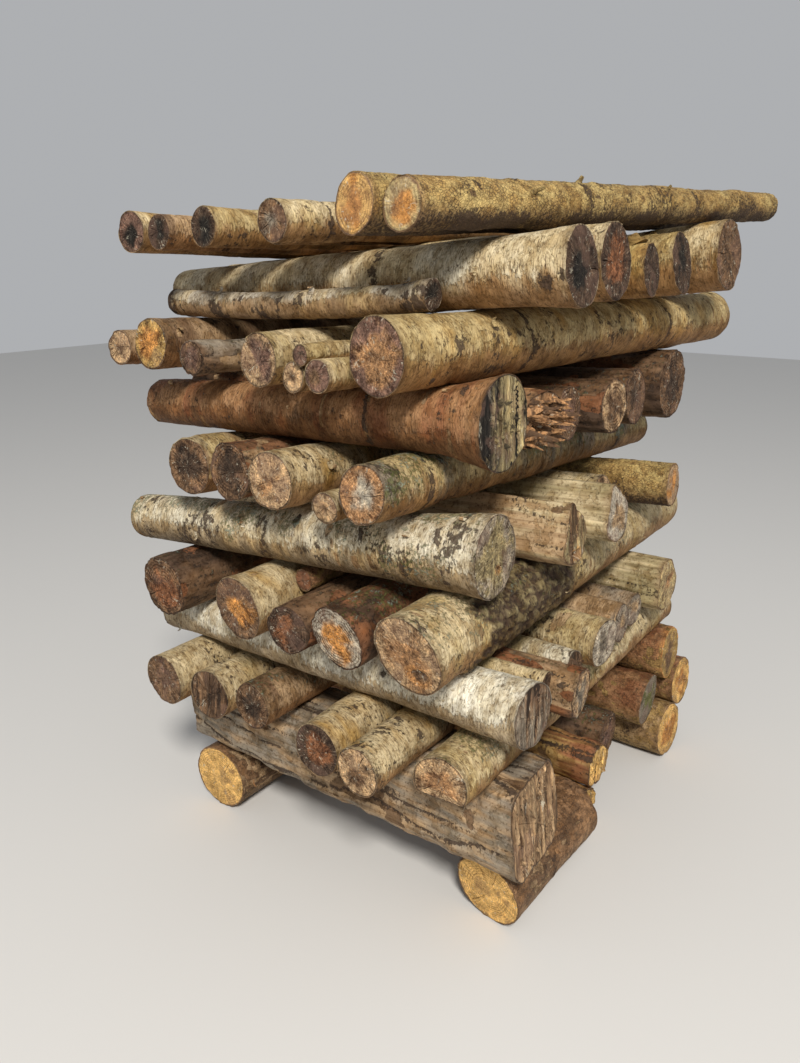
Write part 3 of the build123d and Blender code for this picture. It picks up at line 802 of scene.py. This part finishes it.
def lay_stubs(piece, stem, look, offset):
    """Short remains of branches, leaning towards the far end."""
    turn = np.arange(STUB_SIDES) * math.tau / STUB_SIDES
    circle = np.stack([np.cos(turn), np.sin(turn)], axis=-1)
    for s, angle, radius, length in look.stubs:
        out = math.cos(angle) * stem.side + math.sin(angle) * stem.up
        lean = out + STUB_LEAN * stem.along
        lean /= np.linalg.norm(lean)
        reach = stem.radius(np.full(1, s), np.full(1, angle))[0]
        t = np.array([-0.3, 0.12, 0.35, 0.8, 1.0])
        path = stem.place(*(np.array([v]) for v in (reach * math.cos(angle), reach * math.sin(angle), s)))
        path = path + t[:, None] * length * lean
        across = np.cross(lean, stem.side)
        across /= np.linalg.norm(across)
        scale = radius * np.array([1.7, 1.35, 1.0, 0.92, 0.85])
        skin = np.multiply(look.stain, 0.6)
        lay_tube(piece, path, across, np.cross(lean, across), circle, scale, 0, offset, (skin, look.under))


def lay_splinters(piece, stem, look, draw, offset):
    """Torn fibres that stand out of the near end."""
    for _ in range(look.splinters):
        x, y = draw.uniform(-0.8, 0.8, 2) * stem.mean_radius * 0.9
        if math.hypot(x, y) > 0.85 * stem.mean_radius:
            continue
        length, thick = look.spike * draw.uniform(0.25, 1.0), draw.uniform(0.0012, 0.0042)
        base = stem.cut_at(0, x, y)
        t = np.array([-0.25, 0.2, 0.6, 0.85, 1.0])
        sway = draw.uniform(-0.25, 0.25, 2)
        path = stem.place(x + sway[0] * t * length, y + sway[1] * t * length, base - t * length)
        section = np.array([(1.0, 0.0), (0.2, 2.2), (-1.0, 0.4), (-0.3, -2.0)])
        scale = thick * np.array([1.2, 1.0, 0.75, 0.4, 0.06])
        skin = np.multiply(look.sap, draw.uniform(0.6, 1.25))
        lay_tube(piece, path, stem.side, stem.up, section, scale, 1, offset + (x, y, 0), (skin, look.rim))


def lay_log(piece, points, triangles, look, seed, coarse):
    """Dress one solid: its side, its two ends, and what stands out of them."""
    draw = np.random.default_rng([NOISE_SEED, seed])
    stem = Stem(points, triangles)
    offset = draw.uniform(0, 5, 3)
    angle, rims = lay_side(piece, stem, look, draw, offset, coarse)
    for end in (0, 1):
        lay_end(piece, stem, look, draw, offset, angle, rims[end], end)
    lay_curls(piece, stem, look, draw, offset)
    lay_stubs(piece, stem, look, offset)
    lay_splinters(piece, stem, look, draw, offset)


class Nodes:
    """A material's nodes, with a short call for each kind used here."""

    def __init__(self, name):
        self.material = bpy.data.materials.new(name)
        self.material.use_nodes = True
        self.tree = self.material.node_tree
        self.shader = self.tree.nodes["Principled BSDF"]

    def node(self, kind, inputs=None, **settings):
        """A new node, with its inputs fed and its settings made."""
        made = self.tree.nodes.new(kind)
        for key, value in settings.items():
            setattr(made, key, value)
        for key, value in (inputs or {}).items():
            self.feed(made.inputs[key], value)
        return made

    def feed(self, socket, value):
        if isinstance(value, bpy.types.NodeSocket):
            self.tree.links.new(value, socket)
        else:
            socket.default_value = value

    def attribute(self, name, output="Vector"):
        return self.node("ShaderNodeAttribute", attribute_name=name).outputs[output]

    def maths(self, operation, a, b=0.0):
        return self.node("ShaderNodeMath", {0: a, 1: b}, operation=operation).outputs[0]

    def plus(self, a, b):
        return self.maths("ADD", a, b)

    def less(self, a, b):
        return self.maths("SUBTRACT", a, b)

    def times(self, a, b):
        return self.maths("MULTIPLY", a, b)

    def vector(self, operation, a, b=(0, 0, 0)):
        made = self.node("ShaderNodeVectorMath", {0: a, 1: b}, operation=operation)
        return made.outputs["Value" if operation == "LENGTH" else "Vector"]

    def stretch(self, coordinates, scale):
        return self.vector("MULTIPLY", coordinates, scale)

    def noise(self, coordinates, scale, detail, roughness=0.55):
        inputs = {"Vector": coordinates, "Scale": scale, "Detail": detail, "Roughness": roughness}
        return self.node("ShaderNodeTexNoise", inputs).outputs["Fac"]

    def step(self, value, low, high, to_low=0.0, to_high=1.0):
        """A soft step of a value between two levels, which fall where the first is the higher."""
        inputs = {"Value": value, "From Min": low, "From Max": high, "To Min": to_low, "To Max": to_high}
        return self.node("ShaderNodeMapRange", inputs, interpolation_type="SMOOTHSTEP").outputs["Result"]

    def blend(self, share, a, b, kind="MIX"):
        inputs = {0: share, 6: a, 7: b}
        return self.node("ShaderNodeMix", inputs, data_type="RGBA", blend_type=kind).outputs[2]

    def tint(self, share, colour, factor):
        """Multiply a colour by a factor, as far as the share says."""
        return self.blend(share, colour, self.blend(1.0, colour, (*factor, 1), "MULTIPLY"))

    def shade(self, colour, *rows):
        """Multiply a colour by each row's factor, where its value has passed from level to level."""
        for value, low, high, most, factor in rows:
            colour = self.tint(self.step(value, low, high, 0.0, most), colour, factor)
        return colour

    def parts(self, vector):
        return self.node("ShaderNodeSeparateXYZ", {0: vector}).outputs

    def edge(self, field, noise, reach, sharp=0.06):
        """A field's outline, broken up by noise: 1 inside and 0 outside."""
        ragged = self.plus(field, self.times(self.less(noise, 0.5), reach))
        return self.step(ragged, 0.5 - sharp, 0.5 + sharp)

    def finish(self, colour, roughness, relief, depth):
        """Feed the shader. The relief's height is the sum of its values, each with its gain."""
        (value, gain), *others = relief
        height = self.times(value, gain)
        for value, gain in others:
            value = value if abs(gain) == 1 else self.times(value, abs(gain))
            height = self.plus(height, value) if gain > 0 else self.less(height, value)
        bump = self.node("ShaderNodeBump", {"Height": height, "Distance": depth, "Strength": 1.0})
        for key, value in (("Base Color", colour), ("Roughness", roughness),
                           ("Specular IOR Level", DRY_GLOSS), ("Normal", bump.outputs["Normal"])):
            self.feed(self.shader.inputs[key], value)
        return self.material


def rgba(colour, gain=1.0):
    """A colour with its alpha, made lighter or darker by a gain."""
    return tuple(channel * gain for channel in colour) + (1.0,)


def bark_material(name, grain, speck_size, lenticels=0.0, scales=0.0):
    """Bark or bare wood: streaks, grit, black specks and moss, with lenticels and painted shade underneath,
    or scales.
    """
    n = Nodes(name)
    co = n.attribute("log_co")
    skin, under = n.attribute("skin", "Color"), n.attribute("under", "Color")
    peel, crust, green = n.parts(n.attribute("field"))[:3]
    fine = n.noise(co, 170, 4, 0.65)
    coarse = n.noise(co, 34, 4)
    streak = n.noise(n.stretch(co, grain), 64, 4, 0.6)
    bare = n.edge(peel, n.noise(n.stretch(co, (1, 1, 2.0)), 75, 4), 0.6)
    colour = n.blend(n.times(bare, 0.85), skin, under)
    grit = n.noise(co, 110, 4, 0.7)
    patch = n.noise(n.stretch(co, (1, 1, 1.4)), 13, 8, 0.66)
    colour = n.shade(
        colour, (coarse, 0.42, 0.72, 1.0, DULL), (streak, 0.50, 0.36, 0.55, DARK_STREAK),
        (streak, 0.52, 0.62, 0.45, PALE_STREAK), (grit, 0.54, 0.64, 0.75, GRIT),
        (patch, 0.54, 0.56, 0.6, DARK_PATCH), (patch, 0.44, 0.425, 0.55, PALE_PATCH))
    relief = [(fine, -0.5), (streak, 0.7), (n.step(patch, 0.54, 0.56, 0, 0.4), -1)]
    if lenticels:
        dash = n.step(n.noise(n.stretch(co, (1, 1, 8)), 52, 2), 0.59, 0.66)
        some = n.step(n.noise(co, 22, 2), 0.40, 0.62)
        mark = n.times(n.times(dash, some), lenticels)
        colour = n.blend(mark, colour, rgba(BROWN, 0.7))
        # Painted shade on the underside, below a ragged edge of teeth drawn like rows of peeling bark
        teeth = n.noise(n.stretch(co, (0.3, 0.3, 1)), 150, 3, 0.6)
        underside_shade = n.edge(n.parts(n.attribute("ring_co"))[2], teeth, 1.7, 0.07)
        colour = n.tint(n.times(underside_shade, 0.8), colour, UNDERSIDE_SHADE)
        leaf = n.step(n.noise(n.stretch(co, (1, 1, 3.2)), 19, 3), 0.50, 0.512)
        colour = n.tint(n.times(leaf, 0.35), colour, LEAF)
        relief += [(mark, 0.5), (underside_shade, -0.8), (leaf, 0.5)]
    if scales:
        plate = n.node("ShaderNodeTexVoronoi", {"Vector": n.stretch(co, (1, 1, 0.8)), "Scale": 150},
                       feature="DISTANCE_TO_EDGE").outputs["Distance"]
        seam = n.step(plate, 0.0, 0.14)
        gap = n.times(n.less(1.0, seam), n.step(coarse, 0.35, 0.65))
        colour = n.blend(n.times(gap, scales), colour, rgba(UMBER))
        relief += [(seam, 0.6 * scales)]
    speck = n.noise(n.stretch(co, (1, 1, 1.4)), speck_size, 5, 0.65)
    black = n.step(n.plus(speck, n.times(crust, 0.40)), 0.68, 0.76)
    colour = n.blend(n.times(black, 0.88), colour, n.blend(fine, rgba(SOOT), rgba(UMBER, 1.4)))
    tuft = n.noise(co, 115, 5, 0.7)
    lichen = n.step(n.plus(tuft, n.times(green, 0.42)), 0.66, 0.80)
    moss = n.blend(n.step(n.noise(co, 34, 2), 0.50, 0.62), rgba(MOSS), rgba(LICHEN))
    colour = n.blend(n.times(lichen, 0.7), colour, moss)
    relief += [(bare, -0.6), (n.times(black, fine), 1.6), (n.times(lichen, fine), 1.2)]
    roughness = n.step(n.plus(bare, black), 0.0, 1.0, 0.66, 0.9)
    return n.finish(colour, roughness, relief, 0.0030)


def end_material(name, ring_width, ring_strength, star, wear):
    """A sawn end: growth rings, rays, fine radial cracks, saw marks, flecks and weather stains."""
    n = Nodes(name)
    co = n.attribute("log_co")
    skin, under = n.attribute("skin", "Color"), n.attribute("under", "Color")
    opened, stain = n.parts(n.attribute("field"))[:2]
    centre = n.attribute("ring_co")
    radius = n.vector("LENGTH", centre)
    spoke = n.vector("NORMALIZE", centre)
    wobble = n.times(n.noise(co, 28, 2), 0.010)
    phase = n.times(n.plus(radius, wobble), math.tau / ring_width)
    ring = n.step(n.maths("SINE", phase), -0.2, 0.8)
    uneven = n.step(n.noise(co, 40, 3), 0.34, 0.60)
    outer = n.step(radius, 0.015, 0.050, 0.35, 1.0)
    ring = n.times(n.times(ring, uneven), n.times(outer, ring_strength))
    colour = n.tint(ring, skin, LATE_WOOD)
    radial = n.vector("ADD", spoke, n.stretch(centre, (2.5, 2.5, 2.5)))
    rays = n.noise(radial, 13, 5, 0.68)
    blotch = n.noise(co, 50, 7, 0.72)
    fine = n.noise(co, 190, 4, 0.65)
    colour = n.shade(
        colour, (rays, 0.53, 0.62, star, PALE_RAY), (rays, 0.49, 0.40, star, DARK_RAY),
        (blotch, 0.52, 0.60, 0.9 * wear, DARK_BLOTCH), (blotch, 0.48, 0.41, 0.8 * wear, PALE_BLOTCH),
        (fine, 0.52, 0.60, 0.75 * wear, DARK_GRAIN), (fine, 0.46, 0.40, 0.7 * wear, PALE_GRAIN))
    colour = n.blend(n.step(rays, 0.57, 0.64, 0, 0.3 * star), colour, rgba(CHALK))
    check = n.step(n.maths("ABSOLUTE", n.less(n.noise(radial, 31, 2), 0.5)), 0.014, 0.002)
    check = n.times(check, n.step(n.noise(co, 30, 2), 0.45, 0.55))
    crack = n.edge(opened, n.noise(co, 130, 4), 0.35, 0.10)
    gap = n.maths("MAXIMUM", crack, n.times(check, 0.85))
    grey = n.edge(stain, n.noise(co, 80, 4), 0.8, 0.25)
    colour = n.blend(n.times(grey, 0.4), colour, rgba(PLUM, 0.8))
    fleck = n.step(n.noise(n.vector("ADD", radial, n.stretch(co, (30, 30, 30))), 2.6, 4, 0.7), 0.58, 0.64)
    fleck = n.times(fleck, n.step(n.noise(co, 33, 2), 0.46, 0.58))
    colour = n.blend(n.times(fleck, 0.65), colour, rgba(CHALK, 0.9))
    colour = n.blend(gap, colour, under)
    saw = n.noise(n.stretch(co, (0.05, 1, 1)), 420, 1)
    relief = [(saw, 0.35), (fine, -0.4), (blotch, -1.2), (rays, 1.1), (ring, -0.35), (gap, -1)]
    return n.finish(colour, 0.88, relief, 0.0024)


def outermost(names):
    """The logs whose sides show along their length: the outer two of each course, and the top."""
    seen = {"squared_sill_log", "course_9_pole"}
    for course in COURSES:
        members = [name for name in names if name.startswith(f"course_{course}_")]
        across = 0 if course % 2 == 0 else 1
        seen.add(max(members, key=lambda name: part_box(name)[1][across]))
        seen.add(min(members, key=lambda name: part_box(name)[0][across]))
    return seen.union(members)


def build_logs():
    """Dress every node of the frame with one piece."""
    sides = {
        "birch": bark_material("birch_bark", (1, 1, 4.5), 62, lenticels=0.8),
        "scaly": bark_material("scaly_bark", (1, 1, 1), 125, scales=0.7),
        "rugged": bark_material("rugged_bark", (1, 1, 0.35), 85),
        "bare": bark_material("bare_wood", (1.6, 1.6, 0.07), 85),
    }
    ends = {
        "birch": end_material("birch_end", 0.0060, 0.35, star=0.5, wear=1.0),
        "scaly": end_material("conifer_end", 0.0066, 0.6, star=0.3, wear=0.45),
        "rugged": end_material("dark_end", 0.0078, 1.0, star=0.4, wear=0.9),
        "bare": end_material("split_end", 0.0060, 0.3, star=0.3, wear=0.9),
    }
    seen = outermost(sorted(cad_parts))
    seed = 0
    for name in sorted(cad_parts):
        solids = loose_solids(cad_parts[name])
        solids.sort(key=lambda solid: (-solid[0].mean(axis=0)[0], solid[0].mean(axis=0)[1]))
        looks = LOOKS[name] if isinstance(LOOKS[name], list) else [LOOKS[name]] * len(solids)
        coarse = ROW_FINE if name in seen else ROW_COARSE
        piece = Skin()
        for solid, look in zip(solids, looks):
            lay_log(piece, *solid, look, seed, coarse)
            seed += 1
        bark = looks[0].bark
        made = piece.build(f"{name}_finish", [sides[bark], ends[bark]])
        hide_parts(name)
        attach(made, "root")


def build_camera():
    """The photograph's camera."""
    camera = add_object("camera", bpy.data.cameras.new("camera"))
    camera.data.sensor_width = SENSOR
    camera.data.lens = SENSOR * FOCAL_PIXELS / PHOTO_HEIGHT
    turn, down = math.radians(CAMERA_TURN), math.radians(CAMERA_DOWN)
    ahead = Vector((-math.sin(turn) * math.cos(down), math.cos(turn) * math.cos(down), -math.sin(down)))
    camera.location = CAMERA_PLACE
    camera.rotation_euler = ahead.to_track_quat("-Z", "Y").to_euler()
    bpy.context.scene.camera = camera


def build_stage():
    """The floor, the lamp and the sky."""
    half = FLOOR_HALF
    corners = [(-half, -half, 0), (half, -half, 0), (half, half, 0), (-half, half, 0)]
    mesh = bpy.data.meshes.new("floor")
    mesh.from_pydata(corners, [], [(0, 1, 2, 3)])
    paint = Nodes("floor")
    paint.shader.inputs["Base Color"].default_value = rgba(FLOOR_COLOUR)
    paint.shader.inputs["Roughness"].default_value = FLOOR_ROUGHNESS
    mesh.materials.append(paint.material)
    floor = add_object("floor", mesh)
    lamp = add_object("key", bpy.data.lights.new("key", "AREA"))
    lamp.data.shape = "DISK"
    lamp.data.size = LAMP_SIZE
    lamp.data.energy = LAMP_WATTS
    lamp.data.color = LAMP_COLOUR
    lamp.location = LAMP_PLACE
    aim = Vector(LAMP_AIM) - lamp.location
    lamp.rotation_euler = aim.to_track_quat("-Z", "Y").to_euler()
    world = bpy.data.worlds.new("sky")
    world.use_nodes = True
    background = world.node_tree.nodes["Background"]
    background.inputs["Color"].default_value = SKY_COLOUR
    background.inputs["Strength"].default_value = SKY_STRENGTH
    bpy.context.scene.world = world


build_camera()
build_stage()
build_logs()
bpy.context.scene.view_settings.view_transform = "Standard"
